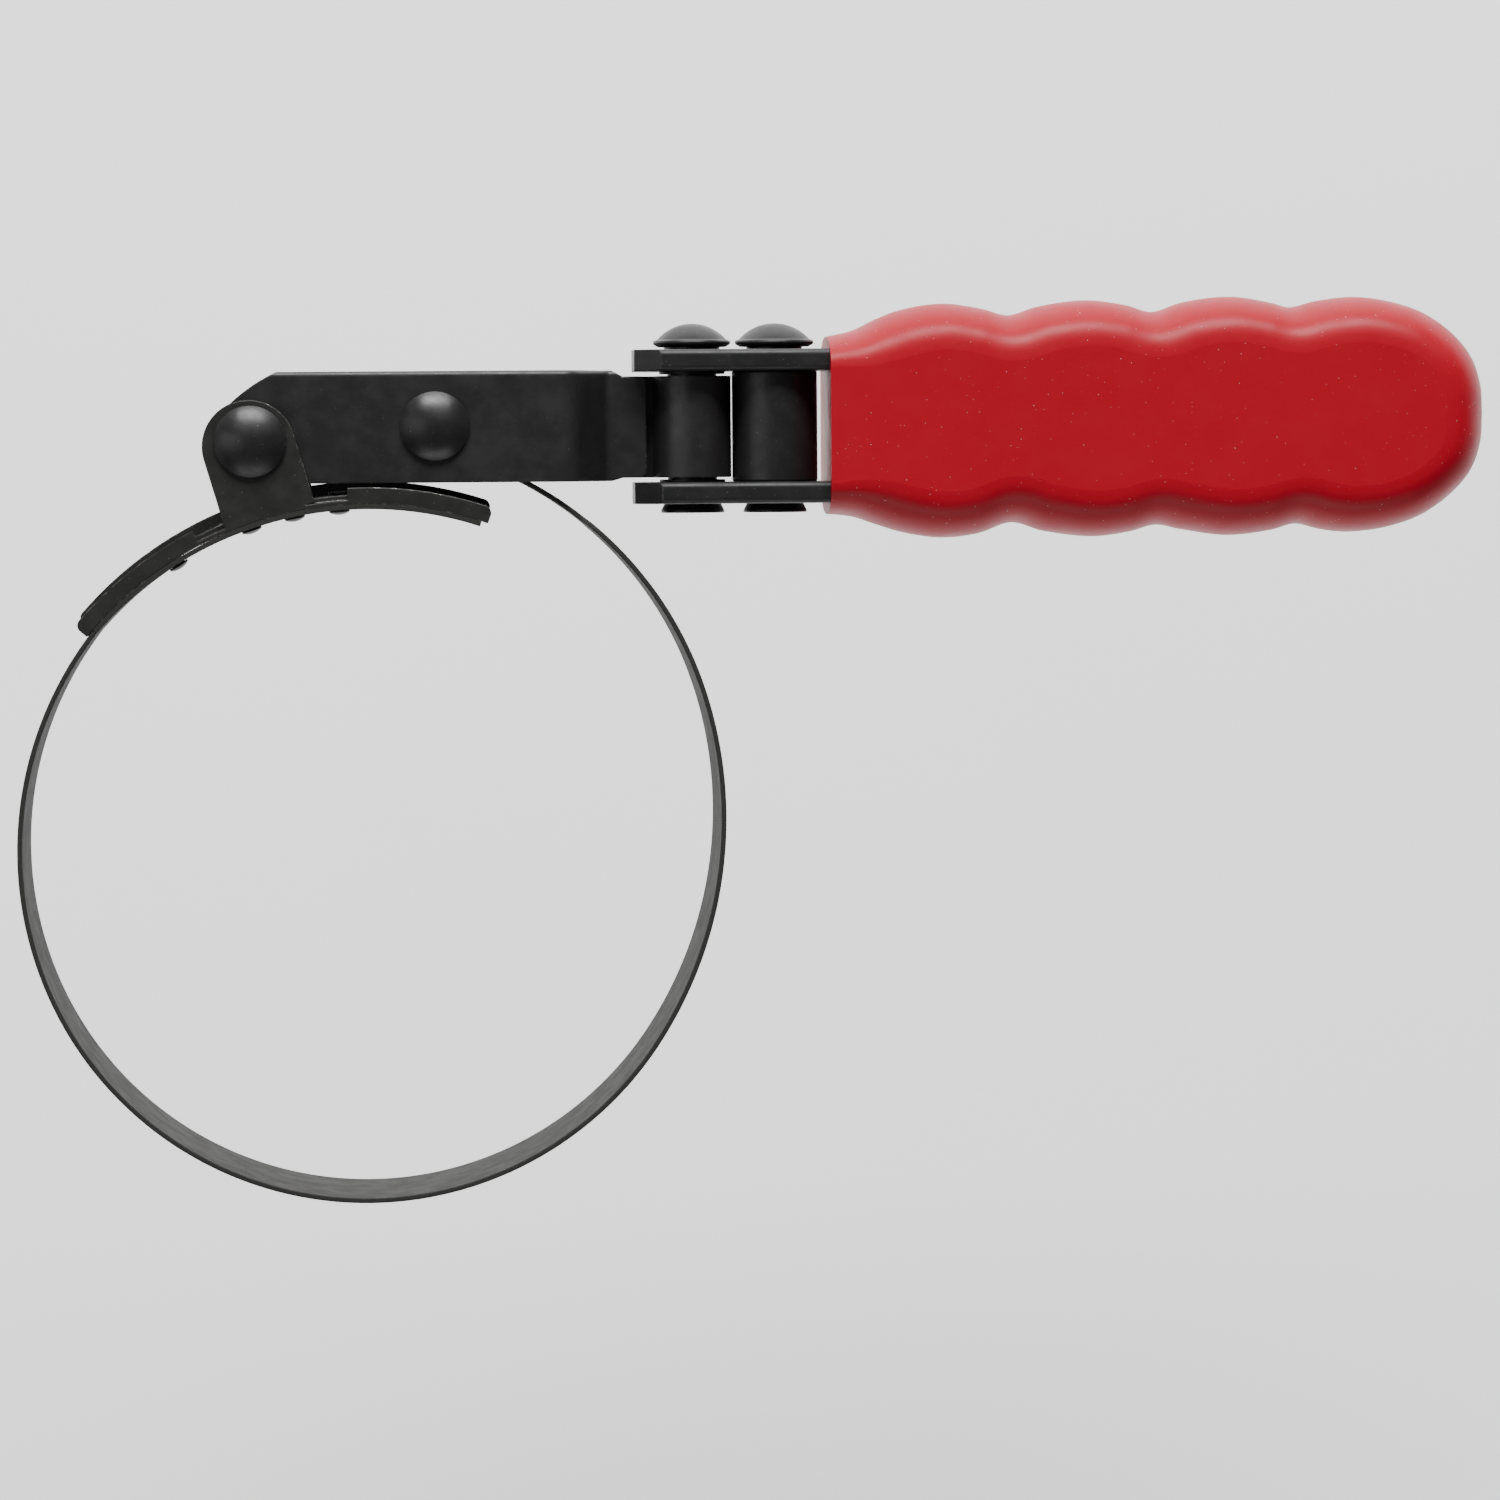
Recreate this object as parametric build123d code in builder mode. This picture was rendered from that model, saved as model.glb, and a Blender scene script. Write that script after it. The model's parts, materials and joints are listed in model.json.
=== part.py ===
from build123d import *
import os
from math import cos, degrees, radians, sin

os.makedirs("parts", exist_ok=True)

# Oil filter wrench. Lengths are in millimetres.
# The origin is the centre of the band loop on the band's middle plane.
# +X runs along the handle, +Y from the loop's far side towards the shoe, +Z along the loop's axis.

# Band and shoe
band_width = 22.0
band_thickness = 0.7
shoe_centre = (-0.2, -3.0)
shoe_band_radius = 50.55
shoe_left_angle = 140.0
shoe_right_angle = 70.65
strip_left_angle = 138.7
strip_right_angle = 71.7
shoe_base_thickness = 1.3
shoe_seat_gap = 0.04
shoe_sheet = 1.6
shoe_flange_height = 2.3
shoe_back_flange_height = 3.05
flange_corner = 1.1
relief_floor = 0.6
half_width = band_width / 2
shoe_seat_radius = shoe_band_radius + band_thickness / 2 + shoe_seat_gap
ear_inner_z = half_width - shoe_sheet

# Shoe ears and the pin the lever turns on
pivot = (-16.3, 56.7)
pivot_pin_radius = 3.1
ear_centre = (-16.5, 56.0)
ear_radius = 6.5
ear_tilt = 16.5
ear_foot = 10.0

# Free band: ten curved lengths, each with its own radius of the middle line
segment_length = 26.23
segment_radii = [50.2] * 2 + [48.3] * 4 + [57.6] * 2 + [50.7] * 2
leaving_direction = 231.8
segment_gap = 0.16
tongue_width = 13.0
tongue_shoulder = 3.2
eye_inner_radius = 3.2
eye_wrap = 318.0

# Band rivets, as angles around the shoe's own centre
rivet_angles = [94.4, 101.7, 108.9, 122.0]
rivet_shank_radius = 1.0
rivet_dome_radius = 1.45
rivet_dome_height = 0.7

# Lever
lever_sheet = 1.9
lever_outer_z = 9.0
lever_bottom = 50.8
lever_top = 66.4
neck_bottom = 51.25
neck_top = 65.55
anchor = (9.4, 58.7)
anchor_pin_radius = 2.3
slope_start_x = 28.4
slope_end_x = 33.2
plate_end_x = 39.3
bend_radius = 2.2
plate_edge_round = 0.7
bearing_clearance = 0.06

# Swivel and fork
fork_centre_y = 58.4
swivel_x = 45.9
spacer_x = 57.6
fork_inner_half = 7.8
fork_sheet = 3.05
fork_width = 16.0
fork_tip_x = 37.55
fork_tip_chamfer = 3.7
fork_bend_x = 136.0
fork_rivet_radius = 3.5
eye_height_half = 7.15
swivel_eye_radius = 5.5
spacer_radius = 6.05
washer_thickness = 0.36
washer_radius = 4.65

# Grip
grip_front_x = 64.9
grip_end = (158.6, 59.6)
grip_thickness = 20.0
grip_edge_round = 4.5


def around(centre, radius, angle):
    """Point at a polar position."""
    return (centre[0] + radius * cos(radians(angle)), centre[1] + radius * sin(radians(angle)))


def save(piece, name):
    """Label one finished piece and write its file."""
    piece.part.label = name
    export_step(piece.part, "parts/" + name + ".step")


def arc_strip(centre, radius, thickness, start, sweep, width):
    """Strip of sheet rolled to one radius, centred on the middle plane."""
    with BuildPart() as strip:
        with BuildSketch(Plane.XY):
            with BuildLine():
                outside = CenterArc(centre, radius + thickness / 2, start, sweep)
                inside = CenterArc(centre, radius - thickness / 2, start, sweep)
                Line(outside @ 0, inside @ 0)
                Line(outside @ 1, inside @ 1)
            make_face()
        extrude(amount=width / 2, both=True)
    return strip.part


# ---------------------------------------------------------------- shoe

base_radius = shoe_seat_radius + shoe_base_thickness / 2
shoe_sweep = shoe_left_angle - shoe_right_angle
ear_foot_x, ear_foot_y = around(ear_centre, ear_foot / 2, 270 + ear_tilt)
band_rivet_planes = []
for angle in rivet_angles:
    x, y = around(shoe_centre, shoe_seat_radius, angle)
    outward = (cos(radians(angle)), sin(radians(angle)), 0)
    band_rivet_planes.append(Plane(origin=(x, y, 0), x_dir=(0, 0, 1), z_dir=outward))

with BuildPart() as band_shoe:
    # curved base that seats on the band
    add(arc_strip(shoe_centre, base_radius, shoe_base_thickness, shoe_right_angle, shoe_sweep, band_width))
    # side flanges with rounded ends; the back one stands a little higher
    for flange_z, rise in ((ear_inner_z, shoe_flange_height), (-half_width, shoe_back_flange_height)):
        with BuildSketch(Plane.XY.offset(flange_z)) as flange:
            with BuildLine():
                rim = CenterArc(shoe_centre, shoe_seat_radius + rise, shoe_right_angle, shoe_sweep)
                seat = CenterArc(shoe_centre, shoe_seat_radius, shoe_right_angle, shoe_sweep)
                Line(rim @ 0, seat @ 0)
                Line(rim @ 1, seat @ 1)
            make_face()
            rim_corners = flange.vertices().filter_by(
                lambda v: (Vector(v) - Vector(*shoe_centre)).length > shoe_seat_radius + 1
            )
            fillet(rim_corners, flange_corner)
        extrude(amount=shoe_sheet)
    # relief notches in the front flange, on both sides of the ear
    notch_outer_radius = shoe_seat_radius + shoe_flange_height + 1
    for start, stop in ((92.9, 101.0), (108.0, 117.2)):
        with BuildSketch(Plane.XY.offset(ear_inner_z)):
            with BuildLine():
                notch_top = CenterArc(shoe_centre, notch_outer_radius, start, stop - start)
                notch_floor = CenterArc(shoe_centre, shoe_seat_radius + relief_floor, start, stop - start)
                Line(notch_top @ 0, notch_floor @ 0)
                Line(notch_top @ 1, notch_floor @ 1)
            make_face()
        extrude(amount=shoe_sheet + 0.2, mode=Mode.SUBTRACT)
    # ears with a rounded top, leaning with the radius they stand on
    for ear_z in (ear_inner_z, -half_width):
        with BuildSketch(Plane(origin=(ear_centre[0], ear_centre[1], ear_z))):
            Circle(ear_radius)
            with Locations(Location((ear_foot_x - ear_centre[0], ear_foot_y - ear_centre[1]), ear_tilt)):
                Rectangle(2 * ear_radius, ear_foot)
        extrude(amount=shoe_sheet)
    # pivot hole through both ears
    with Locations((pivot[0], pivot[1], 0)):
        Cylinder(pivot_pin_radius, 2 * band_width, mode=Mode.SUBTRACT)
    # holes for the band rivets
    with Locations(*[plane.location for plane in band_rivet_planes]):
        Cylinder(rivet_shank_radius, 6, mode=Mode.SUBTRACT)
save(band_shoe, "band_shoe")

strip_gap = degrees(segment_gap / 2 / shoe_band_radius)
with BuildPart() as band_fixed_strip:
    add(arc_strip(shoe_centre, shoe_band_radius, band_thickness, strip_right_angle,
                  strip_left_angle - strip_right_angle - strip_gap, band_width))
    with Locations(*[plane.location for plane in band_rivet_planes]):
        Cylinder(rivet_shank_radius, 6, mode=Mode.SUBTRACT)
save(band_fixed_strip, "band_fixed_strip")


def cap_radius(rim, height):
    """Radius of the sphere that gives a cap of this rim radius and height."""
    return (rim * rim + height * height) / (2 * height)


# one rivet profile, turned about the rivet's own axis: low dome inside the band, small tail outside
dome_base = -band_thickness - shoe_seat_gap - 0.05
dome_top = dome_base - rivet_dome_height
dome_rim = dome_base - 0.3
tail_base = shoe_base_thickness
for number, plane in enumerate(band_rivet_planes, start=1):
    with BuildPart() as band_rivet:
        with BuildSketch(Plane(origin=plane.origin, x_dir=(0, 0, 1), z_dir=-plane.y_dir)):
            with BuildLine():
                Polyline((0, dome_top), (0, tail_base + 0.5), (-1.4, tail_base + 0.5), (-1.6, tail_base),
                         (-rivet_shank_radius, tail_base), (-rivet_shank_radius, dome_base),
                         (-rivet_dome_radius, dome_base), (-rivet_dome_radius, dome_rim))
                RadiusArc((-rivet_dome_radius, dome_rim), (0, dome_top),
                          -cap_radius(rivet_dome_radius, dome_rim - dome_top))
            make_face()
        revolve(axis=Axis(plane.origin, plane.z_dir))
    save(band_rivet, "band_rivet_" + str(number))


def headed_pin(place, shank, front_z, back_z, head_radius, head_height, tail_radius, tail_height):
    """Pin along Z with a domed head in front and a flat formed tail at the back."""
    rim_z = front_z + 0.5
    with BuildPart() as pin:
        with BuildSketch(Plane(origin=(place[0], place[1], 0), x_dir=(1, 0, 0), z_dir=(0, -1, 0))):
            with BuildLine():
                Polyline((0, front_z + head_height), (0, back_z - tail_height),
                         (tail_radius - 0.4, back_z - tail_height),
                         (tail_radius, back_z - tail_height + 0.4),
                         (tail_radius, back_z), (shank, back_z), (shank, front_z), (head_radius, front_z),
                         (head_radius, rim_z))
                RadiusArc((head_radius, rim_z), (0, front_z + head_height),
                          -cap_radius(head_radius, head_height - 0.5))
            make_face()
        revolve(axis=Axis((place[0], place[1], 0), (0, 0, 1)))
    return pin


pivot_rivet = headed_pin(pivot, pivot_pin_radius, half_width, -half_width, 5.0, 2.4, 4.6, 1.5)
save(pivot_rivet, "pivot_rivet")

# ---------------------------------------------------------------- free band

place = around(shoe_centre, shoe_band_radius, strip_left_angle)
heading = leaving_direction
for number, radius in enumerate(segment_radii, start=1):
    arc_centre = around(place, radius, heading + 90)
    sweep = degrees(segment_length / radius)
    end_gap = degrees(segment_gap / 2 / radius)
    begin = heading - 90 + end_gap
    if number < len(segment_radii):
        with BuildPart() as band_segment:
            add(arc_strip(arc_centre, radius, band_thickness, begin, sweep - 2 * end_gap, band_width))
        save(band_segment, "band_segment_" + str(number))
        place = around(arc_centre, radius, heading - 90 + sweep)
        heading = heading + sweep

# last length: full width up to its shoulders, then a narrow tongue curled into an eye
shoulder_sweep = degrees(tongue_shoulder / radius)
tongue_end = around(arc_centre, radius, heading - 90 + sweep)
end_heading = heading + sweep
eye_radius = eye_inner_radius + band_thickness / 2
eye_centre = around(tongue_end, eye_radius, end_heading - 90)
with BuildPart() as band_tongue:
    add(arc_strip(arc_centre, radius, band_thickness, begin, shoulder_sweep, band_width))
    shoulder_corners = band_tongue.edges().filter_by(lambda e: abs(e.length - band_thickness) < 0.01)
    shoulder_corners = shoulder_corners.sort_by(Axis.X)[:2]
    chamfer(shoulder_corners, 2.2)
    add(arc_strip(arc_centre, radius, band_thickness, begin, sweep - end_gap, tongue_width))
    add(arc_strip(eye_centre, eye_radius, band_thickness, end_heading + 90 + 0.5, -eye_wrap, tongue_width))
save(band_tongue, "band_tongue")

# ---------------------------------------------------------------- lever

lever_mid_z = lever_outer_z - lever_sheet / 2
neck_mid_z = lever_sheet / 2 + 0.02
lever_height = lever_top - lever_bottom


def lever_plate(end_x):
    """One side plate: flat, then sloped in to the middle plane, then flat again to its end."""
    with BuildPart() as plate:
        with BuildSketch(Plane(origin=(0, lever_bottom, 0), x_dir=(1, 0, 0), z_dir=(0, -1, 0))):
            with BuildLine() as path:
                FilletPolyline((-30, lever_mid_z), (slope_start_x, lever_mid_z), (slope_end_x, neck_mid_z),
                               (end_x, neck_mid_z), radius=bend_radius)
            trace(path.line, line_width=lever_sheet)
        extrude(amount=-lever_height)
        # outline of the pivot end: a long rounded corner on top and a round foot behind the ear
        with BuildSketch(Plane.XY.offset(-lever_outer_z)):
            with BuildLine():
                corner = RadiusArc((-12.6, lever_top), (-22.0, 58.8), -25)
                foot = ThreePointArc(corner @ 1, (-21.4, 53.6), (-17.4, lever_bottom))
                Polyline(foot @ 1, (34.4, lever_bottom), (36.0, neck_bottom), (end_x + 1, neck_bottom),
                         (end_x + 1, neck_top), (36.0, neck_top), (34.4, lever_top), corner @ 0)
            make_face()
        extrude(amount=2 * lever_outer_z, mode=Mode.INTERSECT)
        with Locations((pivot[0], pivot[1], lever_mid_z)):
            Cylinder(pivot_pin_radius + bearing_clearance, 3 * lever_sheet, mode=Mode.SUBTRACT)
        with Locations((anchor[0], anchor[1], lever_mid_z)):
            Cylinder(anchor_pin_radius, 3 * lever_sheet, mode=Mode.SUBTRACT)
    return plate.part


with BuildPart() as lever_plate_front:
    add(lever_plate(plate_end_x))
    # punched edge, rolled over along the top
    outer_edges = lever_plate_front.edges().filter_by(Axis.X).group_by(Axis.Z)[-1]
    fillet(outer_edges.sort_by(Axis.Y)[-1], plate_edge_round)
    end_edges = lever_plate_front.edges().filter_by(Axis.Z).sort_by(Axis.X)[-2:]
    fillet(end_edges, 1.0)
save(lever_plate_front, "lever_plate_front")

with BuildPart() as lever_plate_back:
    add(mirror(lever_plate(swivel_x - 4.4), about=Plane.XY, mode=Mode.PRIVATE))
    # the plate's end is rolled into the eye for the swivel rivet
    with Locations(Location((swivel_x, fork_centre_y, 0), (90, 0, 0))):
        Cylinder(swivel_eye_radius, 2 * eye_height_half)
        Cylinder(fork_rivet_radius + bearing_clearance, 20, mode=Mode.SUBTRACT)
    # seam where the rolled end meets the plate
    with Locations((swivel_x - 4.4, fork_centre_y, 0.14)):
        Box(3.2, 20, 0.24, mode=Mode.SUBTRACT)
save(lever_plate_back, "lever_plate_back")

with BuildPart() as pivot_spacer:
    spacer_half = lever_outer_z - lever_sheet
    with Locations((pivot[0], pivot[1], 0)):
        Cylinder(4.6, 2 * spacer_half)
        Cylinder(pivot_pin_radius + bearing_clearance, 20, mode=Mode.SUBTRACT)
save(pivot_spacer, "pivot_spacer")

anchor_rivet = headed_pin(anchor, anchor_pin_radius, lever_outer_z, -lever_outer_z, 4.85, 2.3, 4.2, 1.4)
save(anchor_rivet, "anchor_rivet")

# ---------------------------------------------------------------- handle fork and its rivets

fork_outer_half = fork_inner_half + fork_sheet


def strap_outline(start_x):
    """Edge view of the U-shaped strap, from start_x round the bend and back."""
    with BuildSketch(Plane.XY) as outline:
        with BuildLine():
            high_out = fork_centre_y + fork_outer_half
            high_in = fork_centre_y + fork_inner_half
            low_in = fork_centre_y - fork_inner_half
            low_out = fork_centre_y - fork_outer_half
            Line((start_x, high_out), (fork_bend_x, high_out))
            CenterArc((fork_bend_x, fork_centre_y), fork_outer_half, 90, -180)
            Polyline((fork_bend_x, low_out), (start_x, low_out), (start_x, low_in), (fork_bend_x, low_in))
            CenterArc((fork_bend_x, fork_centre_y), fork_inner_half, -90, 180)
            Polyline((fork_bend_x, high_in), (start_x, high_in), (start_x, high_out))
        make_face()
    return outline.sketch


with BuildPart() as handle_fork:
    add(strap_outline(fork_tip_x))
    extrude(amount=fork_width / 2, both=True)
    # cut corners on both arm tips, then softened strap edges
    tip_corners = handle_fork.edges().filter_by(Axis.Y).group_by(Axis.X)[0]
    chamfer(tip_corners, fork_tip_chamfer)
    long_edges = handle_fork.edges().filter_by(Axis.X)
    fillet(long_edges, 0.8)
    for x in (swivel_x, spacer_x):
        with Locations(Location((x, fork_centre_y, 0), (90, 0, 0))):
            Cylinder(fork_rivet_radius, 40, mode=Mode.SUBTRACT)
save(handle_fork, "handle_fork")


def fork_rivet_body(x, head_radius, tail_radius):
    """Rivet through both arms: mushroom head with a thick rim above, flared flat tail below."""
    top = fork_centre_y + fork_outer_half
    low = fork_centre_y - fork_outer_half
    dome_foot = (x + head_radius - 0.6, top + 1.45)
    with BuildPart() as rivet:
        with BuildSketch(Plane.XY):
            with BuildLine():
                Polyline((x, top + 3.7), (x, low - 1.3), (x + tail_radius, low - 1.3),
                         (x + tail_radius, low - 1.0), (x + tail_radius - 0.5, low),
                         (x + fork_rivet_radius, low), (x + fork_rivet_radius, top),
                         (x + 3.95, top), (x + 3.95, top + 0.4),
                         (x + head_radius - 0.7, top + 0.4), (x + head_radius - 0.1, top + 0.75),
                         (x + head_radius, top + 1.0), (x + head_radius - 0.1, top + 1.25), dome_foot)
                RadiusArc(dome_foot, (x, top + 3.7), -cap_radius(head_radius - 0.6, 2.25))
            make_face()
        revolve(axis=Axis((x, 0, 0), (0, 1, 0)))
    return rivet


swivel_rivet = fork_rivet_body(swivel_x, 5.5, 4.5)
save(swivel_rivet, "swivel_rivet")
spacer_rivet = fork_rivet_body(spacer_x, 5.6, 4.5)
save(spacer_rivet, "spacer_rivet")

# washers above and below the lever's eye
washer_middle = fork_inner_half - washer_thickness / 2
for side, end in ((1, "top"), (-1, "bottom")):
    with BuildPart() as washer:
        with Locations(Location((swivel_x, fork_centre_y + side * washer_middle, 0), (90, 0, 0))):
            Cylinder(washer_radius, washer_thickness)
            Cylinder(fork_rivet_radius, 5, mode=Mode.SUBTRACT)
    save(washer, "swivel_washer_" + end)

with BuildPart() as spacer_sleeve:
    with Locations(Location((spacer_x, fork_centre_y, 0), (90, 0, 0))):
        Cylinder(spacer_radius, 2 * fork_inner_half)
        Cylinder(fork_rivet_radius, 30, mode=Mode.SUBTRACT)
    sleeve_rims = spacer_sleeve.edges().filter_by(GeomType.CIRCLE).sort_by(SortBy.RADIUS)[-2:]
    fillet(sleeve_rims, 0.3)
save(spacer_sleeve, "spacer_sleeve")

# ---------------------------------------------------------------- grip

# finger swells along the top and bottom edges, left to right: crest, hollow, crest, and so on
top_waves = [(81.5, 75.6), (90.8, 73.9), (102.5, 75.95), (111.3, 74.25), (122.7, 76.4), (131.1, 74.8),
             (140.4, 76.25)]
low_waves = [(81.5, 42.4), (91.5, 44.6), (103.2, 42.4), (111.8, 44.05), (122.6, 42.4), (131.8, 44.0),
             (139.2, 42.75)]

with BuildPart() as grip:
    with BuildSketch(Plane.XY):
        with BuildLine():
            upper = Spline((grip_front_x, 71.0), (70.6, 72.7), *top_waves, (150.0, 73.9))
            lower = Spline((grip_front_x, 45.9), (70.6, 44.9), *low_waves, (149.8, 45.1))
            TangentArc(upper @ 1, grip_end, tangent=upper % 1)
            TangentArc(lower @ 1, grip_end, tangent=lower % 1)
            Line(upper @ 0, lower @ 0)
        make_face()
    extrude(amount=grip_thickness / 2, both=True)
    front_and_back = grip.faces().sort_by(Axis.Z)
    outline_edges = front_and_back[-1].edges() + front_and_back[0].edges()
    fillet(outline_edges.filter_by(lambda e: e.center().X > grip_front_x + 5), grip_edge_round)
    # pocket for the strap
    add(strap_outline(grip_front_x - 1))
    extrude(amount=fork_width / 2, both=True, mode=Mode.SUBTRACT)
save(grip, "grip")
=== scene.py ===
import json
from math import atan2, ceil, cos, pi, radians, sin, sqrt

import bpy
from mathutils import Matrix, Vector


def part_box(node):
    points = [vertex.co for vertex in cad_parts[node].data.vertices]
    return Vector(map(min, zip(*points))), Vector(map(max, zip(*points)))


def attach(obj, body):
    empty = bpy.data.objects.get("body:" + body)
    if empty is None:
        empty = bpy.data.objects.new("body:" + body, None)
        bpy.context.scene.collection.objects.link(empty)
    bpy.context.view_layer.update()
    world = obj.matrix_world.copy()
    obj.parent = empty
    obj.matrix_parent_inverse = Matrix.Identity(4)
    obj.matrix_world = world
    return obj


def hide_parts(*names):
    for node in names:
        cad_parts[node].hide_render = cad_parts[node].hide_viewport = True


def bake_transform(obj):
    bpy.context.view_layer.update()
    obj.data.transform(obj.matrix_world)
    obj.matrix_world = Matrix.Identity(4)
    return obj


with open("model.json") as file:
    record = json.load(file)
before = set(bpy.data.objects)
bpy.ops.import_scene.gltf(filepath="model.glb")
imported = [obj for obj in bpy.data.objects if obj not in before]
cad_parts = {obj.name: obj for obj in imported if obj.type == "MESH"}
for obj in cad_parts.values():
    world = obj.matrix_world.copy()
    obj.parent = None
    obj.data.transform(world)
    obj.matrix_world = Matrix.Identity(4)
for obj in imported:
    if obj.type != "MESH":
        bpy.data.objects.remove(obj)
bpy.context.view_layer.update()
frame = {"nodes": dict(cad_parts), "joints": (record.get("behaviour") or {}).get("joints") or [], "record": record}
nodes = frame["nodes"]
joints = {joint["name"]: joint for joint in frame["joints"]}
MM = 0.001


# ---------------------------------------------------------------- materials

def link(tree, source, target):
    tree.links.new(source, target)


def new_material(name):
    material = bpy.data.materials.new(name)
    material.use_nodes = True
    tree = material.node_tree
    shader = tree.nodes["Principled BSDF"]
    return material, tree, shader


def noise(tree, scale, detail, coordinates, rough=0.6):
    node = tree.nodes.new("ShaderNodeTexNoise")
    node.inputs["Scale"].default_value = scale
    node.inputs["Detail"].default_value = detail
    node.inputs["Roughness"].default_value = rough
    link(tree, coordinates, node.inputs["Vector"])
    return node.outputs["Fac"]


def ramp(tree, value, low, high, start=0.0, stop=1.0):
    node = tree.nodes.new("ShaderNodeMapRange")
    node.interpolation_type = "SMOOTHSTEP"
    node.inputs["From Min"].default_value = low
    node.inputs["From Max"].default_value = high
    node.inputs["To Min"].default_value = start
    node.inputs["To Max"].default_value = stop
    link(tree, value, node.inputs["Value"])
    return node.outputs["Result"]


def math(tree, kind, first, second=None):
    node = tree.nodes.new("ShaderNodeMath")
    node.operation = kind
    for place, value in ((0, first), (1, second)):
        if value is None:
            continue
        if isinstance(value, (int, float)):
            node.inputs[place].default_value = value
        else:
            link(tree, value, node.inputs[place])
    return node.outputs[0]


def blend_color(tree, amount, first, second):
    node = tree.nodes.new("ShaderNodeMix")
    node.data_type = "RGBA"
    link(tree, amount, node.inputs["Factor"])
    for place, value in ((6, first), (7, second)):
        if isinstance(value, tuple):
            node.inputs[place].default_value = (*value, 1)
        else:
            link(tree, value, node.inputs[place])
    return node.outputs[2]


WORN_METAL = (0.3, 0.29, 0.27)


def black_steel(name, base, rough, wear, soft=0.25, grain=0.3, specks=1.0, gloss=0.5, tint=WORN_METAL):
    """Satin black finish: softened edges, metal bared where they rub, fine grain and dust specks."""
    material, tree, shader = new_material(name)
    place = tree.nodes.new("ShaderNodeTexCoord").outputs["Object"]
    geometry = tree.nodes.new("ShaderNodeNewGeometry")
    bevel = tree.nodes.new("ShaderNodeBevel")
    bevel.samples = 4
    bevel.inputs["Radius"].default_value = soft * MM
    turn = tree.nodes.new("ShaderNodeVectorMath")
    turn.operation = "DOT_PRODUCT"
    link(tree, bevel.outputs["Normal"], turn.inputs[0])
    link(tree, geometry.outputs["True Normal"], turn.inputs[1])
    edge = ramp(tree, turn.outputs["Value"], 0.985, 0.86)
    patch = ramp(tree, noise(tree, 260, 3, place), 0.42, 0.62)
    chips = ramp(tree, noise(tree, 1500, 2, place), 0.45, 0.6)
    rubbed = math(tree, "MULTIPLY", edge, math(tree, "MULTIPLY", patch, chips))
    rubbed = math(tree, "MULTIPLY", rubbed, wear)
    dust = ramp(tree, noise(tree, 4200, 1, place, 0.2), 0.77, 0.81, 0.0, 0.3 * specks)
    shade = noise(tree, 45, 4, place)
    dark = tuple(0.85 * c for c in base)
    light = tuple(1.15 * c for c in base)
    color = blend_color(tree, shade, dark, light)
    color = blend_color(tree, dust, color, (0.42, 0.41, 0.40))
    color = blend_color(tree, rubbed, color, tint)
    link(tree, color, shader.inputs["Base Color"])
    link(tree, math(tree, "MULTIPLY", rubbed, 0.8), shader.inputs["Metallic"])
    roughness = ramp(tree, noise(tree, 300, 4, place), 0.3, 0.7, rough - 0.06, rough + 0.08)
    link(tree, roughness, shader.inputs["Roughness"])
    shader.inputs["Specular IOR Level"].default_value = gloss
    bump = tree.nodes.new("ShaderNodeBump")
    bump.inputs["Strength"].default_value = grain
    bump.inputs["Distance"].default_value = 0.02 * MM
    link(tree, noise(tree, 1800, 3, place), bump.inputs["Height"])
    link(tree, bevel.outputs["Normal"], bump.inputs["Normal"])
    link(tree, bump.outputs["Normal"], shader.inputs["Normal"])
    return material


def red_vinyl():
    """Dipped vinyl: soft semi-gloss red with a faint waviness and a little dust."""
    material, tree, shader = new_material("red_vinyl")
    place = tree.nodes.new("ShaderNodeTexCoord").outputs["Object"]
    shade = noise(tree, 30, 3, place)
    color = blend_color(tree, shade, (0.36, 0.0036, 0.0150), (0.41, 0.0046, 0.0175))
    dust = ramp(tree, noise(tree, 3400, 1, place, 0.2), 0.78, 0.82, 0.0, 0.4)
    color = blend_color(tree, dust, color, (0.8, 0.62, 0.62))
    link(tree, color, shader.inputs["Base Color"])
    link(tree, ramp(tree, noise(tree, 200, 3, place), 0.3, 0.7, 0.38, 0.45), shader.inputs["Roughness"])
    shader.inputs["Subsurface Weight"].default_value = 0.08
    shader.inputs["Subsurface Radius"].default_value = (0.003, 0.0006, 0.0004)
    shader.inputs["Specular IOR Level"].default_value = 0.2
    bump = tree.nodes.new("ShaderNodeBump")
    bump.inputs["Strength"].default_value = 0.25
    bump.inputs["Distance"].default_value = 0.1 * MM
    link(tree, noise(tree, 260, 3, place), bump.inputs["Height"])
    link(tree, bump.outputs["Normal"], shader.inputs["Normal"])
    return material


shoe_steel = black_steel("shoe_black", (0.0145, 0.0142, 0.0134), 0.42, 1.0, soft=0.3,
                         tint=(0.30, 0.285, 0.26))
lever_steel = black_steel("lever_black", (0.0130, 0.0130, 0.0133), 0.42, 1.0, soft=0.3,
                          specks=0.4)
band_steel = black_steel("band_black", (0.026, 0.026, 0.0247), 0.72, 0.4, soft=0.12, grain=0.4,
                         specks=0.3, gloss=0.2)
rivet_steel = black_steel("rivet_black", (0.0130, 0.0130, 0.0134), 0.36, 0.25, soft=0.2, specks=0.7,
                          gloss=0.4)
fork_steel = black_steel("fork_black", (0.0140, 0.0140, 0.0144), 0.42, 0.5, soft=0.4, specks=0.6,
                         gloss=0.35)
sleeve_steel = black_steel("sleeve_black", (0.0110, 0.0110, 0.0113), 0.42, 0.3, soft=0.2,
                           specks=0.4, gloss=0.4)
vinyl = red_vinyl()

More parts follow.
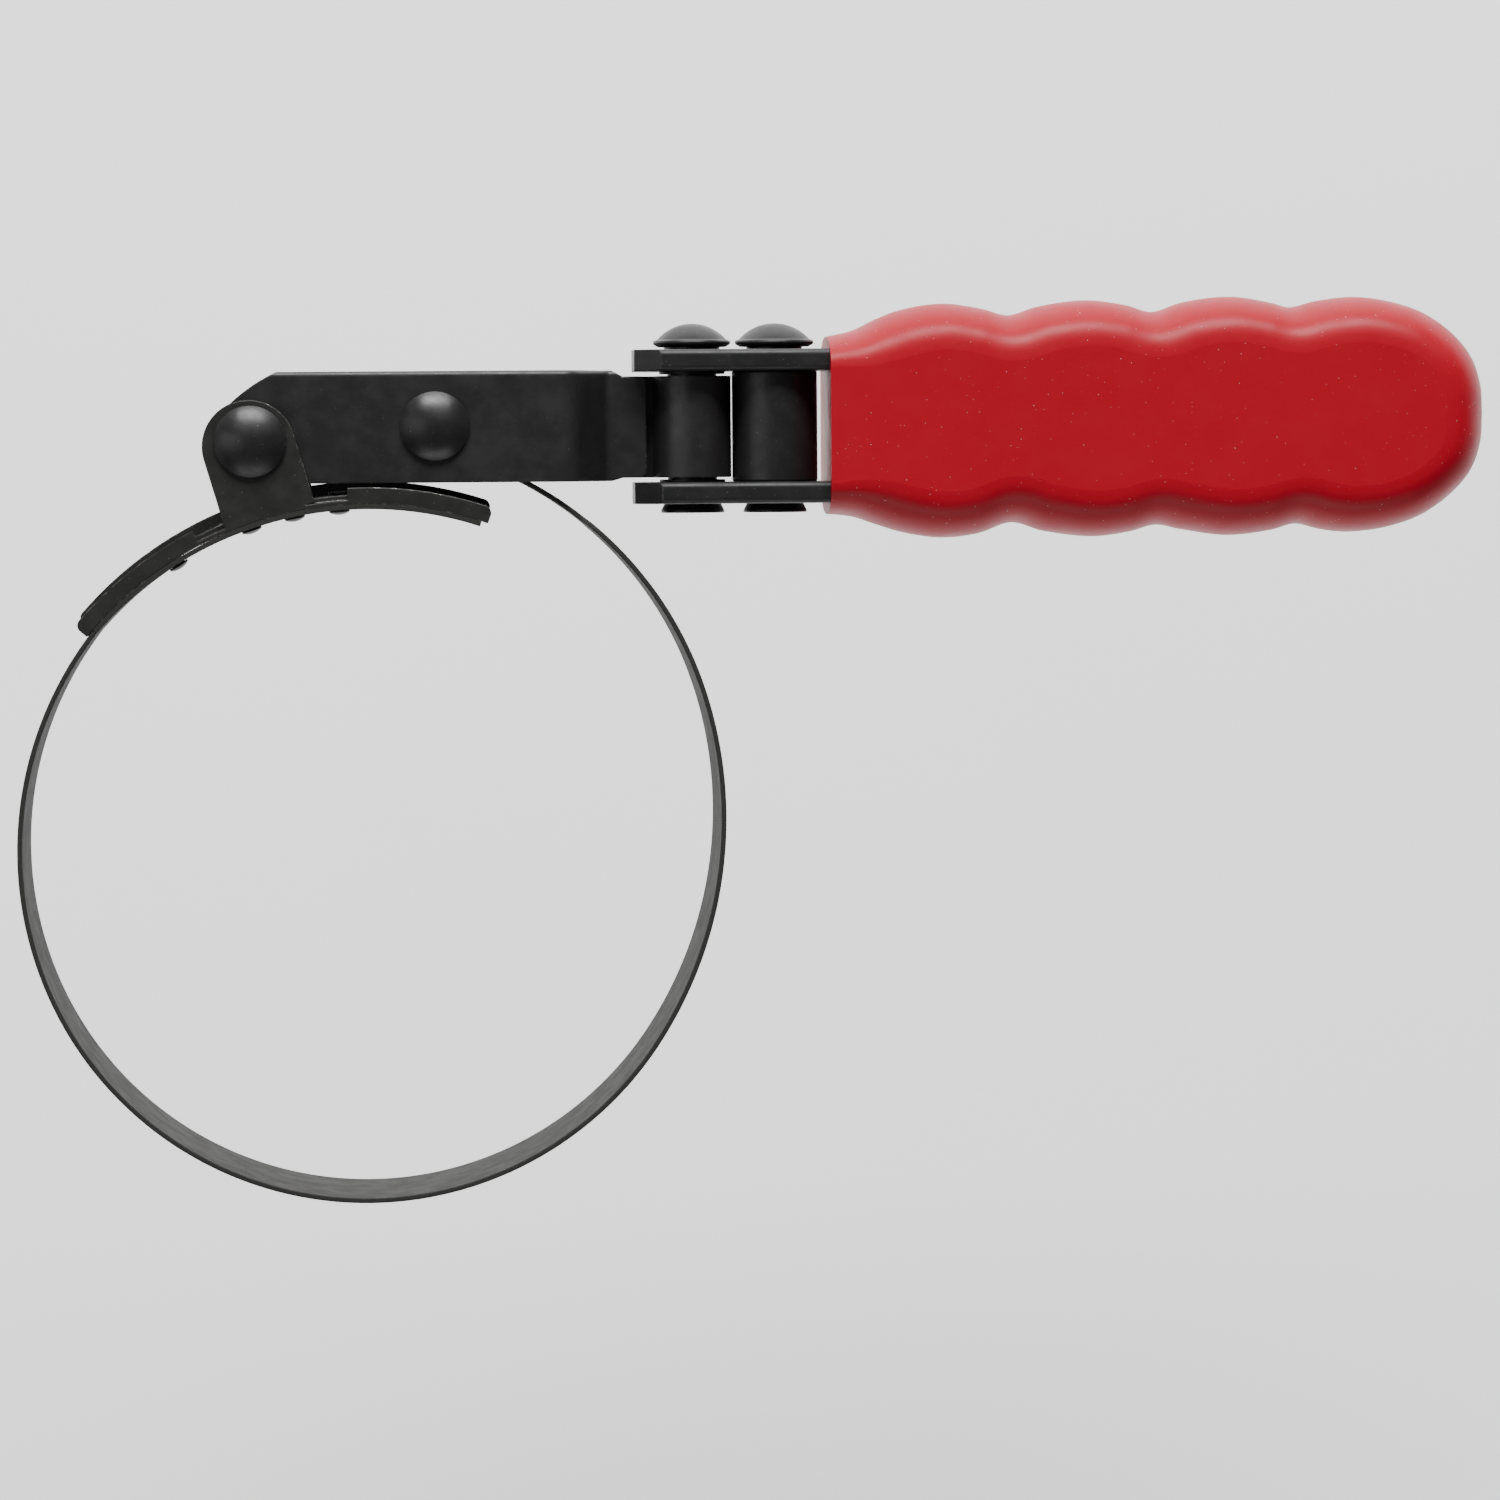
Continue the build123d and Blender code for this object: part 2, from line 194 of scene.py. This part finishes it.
finish_of_slot = {
    "shoe_steel": shoe_steel,
    "band_steel": band_steel,
    "rivet_steel": rivet_steel,
    "lever_steel": lever_steel,
    "spacer_steel": sleeve_steel,
    "fork_steel": fork_steel,
    "grip_vinyl": vinyl,
}
slot_of_node = {part["node"]: part["material_slot"] for part in frame["record"]["subparts"]}


def dress(obj, material):
    obj.data.materials.clear()
    obj.data.materials.append(material)


for node_name, node in nodes.items():
    dress(node, finish_of_slot[slot_of_node[node_name]])


def new_mesh(name, points, faces, material):
    mesh = bpy.data.meshes.new(name)
    mesh.from_pydata(points, [], faces)
    mesh.validate()
    mesh.update()
    obj = bpy.data.objects.new(name, mesh)
    bpy.context.scene.collection.objects.link(obj)
    dress(obj, material)
    return obj


# ---------------------------------------------------------------- band

# The band's middle line: one arc between each pair of neighbouring hinge lines.
segment_radii = [50.2] * 2 + [48.3] * 4 + [57.6] * 2 + [50.7] * 2
segment_length = 26.23
band_half_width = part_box("band_segment_5")[1].z
band_half_thickness = 0.35 * MM
tongue_half_width = 6.5 * MM
shoulder_at = 3.2
shoulder_length = 2.2
eye_radius = 3.55 * MM
eye_wrap = radians(318)
eye_steps = 48
segment_count = len(segment_radii)
hinges = [Vector(joints["band_hinge_%02d" % k]["pos_m"]) for k in range(1, segment_count + 1)]


def arc_centre(start, end, radius):
    """Centre to the left of the way from start to end."""
    middle = (start + end) / 2
    half = (end - start) / 2
    left = Vector((-half.y, half.x, 0)).normalized()
    return middle + left * sqrt(radius * radius - half.length_squared)


arcs = []
for k in range(segment_count - 1):
    radius = segment_radii[k] * MM
    centre = arc_centre(hinges[k], hinges[k + 1], radius)
    out = hinges[k] - centre
    arcs.append((centre, radius, atan2(out.y, out.x)))
last_radius = segment_radii[-1] * MM
last_start = arcs[-1][2] + segment_length / segment_radii[-2]
last_centre = hinges[-1] - last_radius * Vector((cos(last_start), sin(last_start), 0))
arcs.append((last_centre, last_radius, last_start))


def band_point(s):
    """Point on the middle line and the outward direction, s millimetres from the first hinge line."""
    k = min(segment_count - 1, max(0, int(s // segment_length)))
    centre, radius, start = arcs[k]
    angle = start + (s - k * segment_length) * MM / radius
    out = Vector((cos(angle), sin(angle), 0))
    return centre + radius * out, out


def strip(stations, material, name, round_edge=0.12 * MM):
    """Closed strip of sheet. Each station is (point, outward direction, half width)."""
    points = []
    faces = []
    t = band_half_thickness
    for point, out, half in stations:
        section = [
            (-t, -half + round_edge), (-t, half - round_edge),
            (-t + round_edge, half), (t - round_edge, half),
            (t, half - round_edge), (t, -half + round_edge),
            (t - round_edge, -half), (-t + round_edge, -half),
        ]
        points += [point + out * u + Vector((0, 0, z)) for u, z in section]
    for i in range(len(stations) - 1):
        for j in range(8):
            a, b = 8 * i + j, 8 * i + (j + 1) % 8
            faces.append((a, b, b + 8, a + 8))
    last = 8 * (len(stations) - 1)
    faces.append(tuple(reversed(range(8))))
    faces.append(tuple(last + j for j in range(8)))
    obj = new_mesh(name, points, faces, material)
    obj.data.shade_smooth()
    return obj


def sharpen(obj, degrees):
    """Smooth shading that stays sharp where two faces meet at more than this angle."""
    obj.data.set_sharp_from_angle(angle=radians(degrees))


def stretch(first, last, step=1.2):
    count = max(2, ceil((last - first) / step))
    return [first + (last - first) * i / count for i in range(count + 1)]


for k in range(1, segment_count + 1):
    begin = 0.0 if k == 1 else (k - 1.5) * segment_length
    end = (k - 0.5) * segment_length
    if k < segment_count:
        stations = [(*band_point(s), band_half_width) for s in stretch(begin, end)]
    else:
        # shoulders narrow the strip to the tongue, which runs on into the eye
        shoulder = (segment_count - 1) * segment_length + shoulder_at
        shoulder_start = shoulder - shoulder_length
        stations = [(*band_point(s), band_half_width) for s in stretch(begin, shoulder_start)]
        for u in (0.15, 0.5, 0.85, 1.0):
            s = shoulder_start + shoulder_length * u
            drop = (band_half_width - tongue_half_width) * (u * u * (3 - 2 * u) if u < 1 else 1)
            stations.append((*band_point(s), band_half_width - drop))
        band_end = segment_count * segment_length
        stations += [(*band_point(s), tongue_half_width) for s in stretch(shoulder + 0.4, band_end)]
        tip, out = band_point(band_end - 1e-6)
        eye = tip + out * eye_radius
        first = atan2(-out.y, -out.x)
        for i in range(1, eye_steps + 1):
            angle = first - eye_wrap * i / eye_steps
            way = Vector((cos(angle), sin(angle), 0))
            stations.append((eye + way * eye_radius, -way, tongue_half_width))
    piece = strip(stations, band_steel, "band_bend_%02d" % k)
    sharpen(piece, 40)
    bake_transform(piece)
    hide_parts("band_tongue" if k == segment_count else "band_segment_%d" % k)


# ---------------------------------------------------------------- grip

grip_low, grip_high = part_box("grip")
front_x = grip_low.x
half_thickness = grip_high.z
# crests and hollows of the finger swells, along the top and the bottom edge, in millimetres
top_line = [
    (64.9, 71.0), (68.6, 71.85), (72.1, 73.5), (75.6, 74.75), (81.5, 75.6), (87.0, 74.85),
    (90.8, 73.9), (95.3, 75.15), (102.0, 75.95), (107.5, 75.25), (111.3, 74.25), (115.8, 75.6),
    (122.6, 76.35), (128.0, 75.55), (131.1, 74.8), (134.8, 75.65), (140.4, 76.22), (146.0, 75.4),
    (150.2, 73.9), (154.5, 70.8), (157.1, 67.4), (158.35, 63.5), (158.58, 59.6),
]
low_line = [
    (64.9, 45.9), (68.4, 45.5), (71.8, 44.4), (75.3, 43.3), (81.0, 42.42), (86.3, 42.95),
    (91.2, 44.5), (95.6, 43.3), (102.8, 42.42), (108.0, 43.05), (111.8, 44.0), (115.4, 43.35),
    (122.0, 42.45), (128.2, 43.1), (131.8, 44.0), (135.4, 43.2), (139.2, 42.78), (144.5, 43.35),
    (149.8, 45.1), (154.4, 48.4), (157.1, 51.8), (158.35, 55.7), (158.58, 59.6),
]


def smooth_line(line, per_span):
    """Centripetal curve through every point."""
    pts = [Vector((x, y, 0)) for x, y in line]
    pts = [2 * pts[0] - pts[1]] + pts + [2 * pts[-1] - pts[-2]]
    found = []
    for i in range(1, len(pts) - 2):
        a, b, c, d = pts[i - 1], pts[i], pts[i + 1], pts[i + 2]
        t0 = 0.0
        t1 = t0 + sqrt((b - a).length)
        t2 = t1 + sqrt((c - b).length)
        t3 = t2 + sqrt((d - c).length)
        for j in range(per_span):
            t = t1 + (t2 - t1) * j / per_span
            p = (t1 - t) / (t1 - t0) * a + (t - t0) / (t1 - t0) * b
            q = (t2 - t) / (t2 - t1) * b + (t - t1) / (t2 - t1) * c
            r = (t3 - t) / (t3 - t2) * c + (t - t2) / (t3 - t2) * d
            u = (t2 - t) / (t2 - t0) * p + (t - t0) / (t2 - t0) * q
            v = (t3 - t) / (t3 - t1) * q + (t - t1) / (t3 - t1) * r
            found.append((t2 - t) / (t2 - t1) * u + (t - t1) / (t2 - t1) * v)
    found.append(pts[-2])
    return found


upper = smooth_line(top_line, 8)
lower = smooth_line(low_line, 8)
outline = [p * MM for p in upper[:-1]] + [p * MM for p in reversed(lower)]
roll_at_front = 4.5 * MM
roll_behind = 6.6 * MM
roll_change = 9 * MM
square_length = 14 * MM
depth_power = 0.85
height_power = 0.95
ring_steps = 12


def inward(i):
    """Unit direction from the outline into the grip, squared up at the cut front end."""
    a = outline[max(0, i - 1)]
    b = outline[min(len(outline) - 1, i + 1)]
    along = (b - a).normalized()
    normal = Vector((along.y, -along.x, 0))
    t = min(1.0, max(0.0, (outline[i].x - front_x) / square_length))
    t = t * t * (3 - 2 * t)
    square = Vector((0, -1 if i < len(outline) / 2 else 1, 0))
    return (normal * t + square * (1 - t)).normalized()


points = []
rows = 2 * ring_steps + 1
for i, edge in enumerate(outline):
    way = inward(i)
    grown = min(1.0, (edge.x - front_x) / roll_change)
    roll = roll_at_front + (roll_behind - roll_at_front) * grown * grown * (3 - 2 * grown)
    for j in range(rows):
        phi = pi / 2 * (j / ring_steps - 1)
        depth = roll * (1 - cos(phi) ** depth_power)
        height = half_thickness * (abs(sin(phi)) ** height_power) * (-1 if phi < 0 else 1)
        points.append(edge + way * depth + Vector((0, 0, height)))
faces = []
for i in range(len(outline) - 1):
    for j in range(rows - 1):
        a = i * rows + j
        faces.append((a, a + rows, a + rows + 1, a + 1))
count = len(outline)
half = count // 2
for side in (0, rows - 1):
    for i in range(half):
        a, b = i * rows + side, (i + 1) * rows + side
        c, d = (count - 2 - i) * rows + side, (count - 1 - i) * rows + side
        if b == c:
            face = (a, b, d)
        else:
            face = (a, b, c, d)
        faces.append(tuple(reversed(face)) if side else face)
front = list(range(rows)) + [(count - 1) * rows + j for j in reversed(range(rows))]
faces.append(tuple(front))
grip_skin = new_mesh("grip_skin", points, faces, vinyl)
grip_skin.data.shade_smooth()
sharpen(grip_skin, 50)
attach(grip_skin, "handle")
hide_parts("grip")


# ---------------------------------------------------------------- floor, light and camera

def floor_material():
    """Plain white table top."""
    material, tree, shader = new_material("pale_floor")
    shader.inputs["Base Color"].default_value = (0.94, 0.94, 0.94, 1)
    shader.inputs["Roughness"].default_value = 0.9
    shader.inputs["Specular IOR Level"].default_value = 0.1
    shader.inputs["Emission Color"].default_value = (1, 1, 1, 1)
    shader.inputs["Emission Strength"].default_value = 0.7
    return material


# low enough that the handle can swing straight down without reaching it
swing_reach = grip_high.x - joints["handle_swivel"]["pos_m"][0]
floor_clearance = 0.006
bpy.ops.mesh.primitive_plane_add(size=12, location=(0.05, 0, -swing_reach - floor_clearance))
floor = bpy.context.object
floor.name = "floor"
dress(floor, floor_material())

world = bpy.data.worlds.new("studio")
bpy.context.scene.world = world
world.use_nodes = True
world.node_tree.nodes["Background"].inputs["Color"].default_value = (1, 1, 1, 1)
world.node_tree.nodes["Background"].inputs["Strength"].default_value = 0.1


def softbox(name, place, target, width, height, power):
    light = bpy.data.lights.new(name, "AREA")
    light.shape = "RECTANGLE"
    light.size = width
    light.size_y = height
    light.energy = power
    obj = bpy.data.objects.new(name, light)
    bpy.context.scene.collection.objects.link(obj)
    obj.location = place
    obj.rotation_euler = (Vector(target) - Vector(place)).to_track_quat("-Z", "Y").to_euler()
    return obj


softbox("key", (0.05, 1.0, 0.52), (0.05, 0.03, 0), 0.9, 0.35, 25)
softbox("fill_left", (-0.75, 0.1, 0.75), (0.05, 0, 0), 0.5, 0.9, 2)
softbox("fill_low", (0.05, -0.95, 0.45), (0.05, 0, 0), 1.2, 0.4, 4)

camera_data = bpy.data.cameras.new("camera")
camera_data.sensor_width = 36
camera_data.lens = 139.47
camera_data.clip_start = 0.01
camera_data.clip_end = 50
camera = bpy.data.objects.new("camera", camera_data)
bpy.context.scene.collection.objects.link(camera)
eye_place = Vector((0.77, 55.61, 823.0)) * MM
aim = Vector((53.78, 12.47, 0)) * MM
back = (eye_place - aim).normalized()
level = Vector((cos(radians(0.6)), -sin(radians(0.6)), 0))
right = (level - back * level.dot(back)).normalized()
up = back.cross(right)
camera.matrix_world = Matrix.Translation(eye_place) @ Matrix((right, up, back)).transposed().to_4x4()
bpy.context.scene.camera = camera
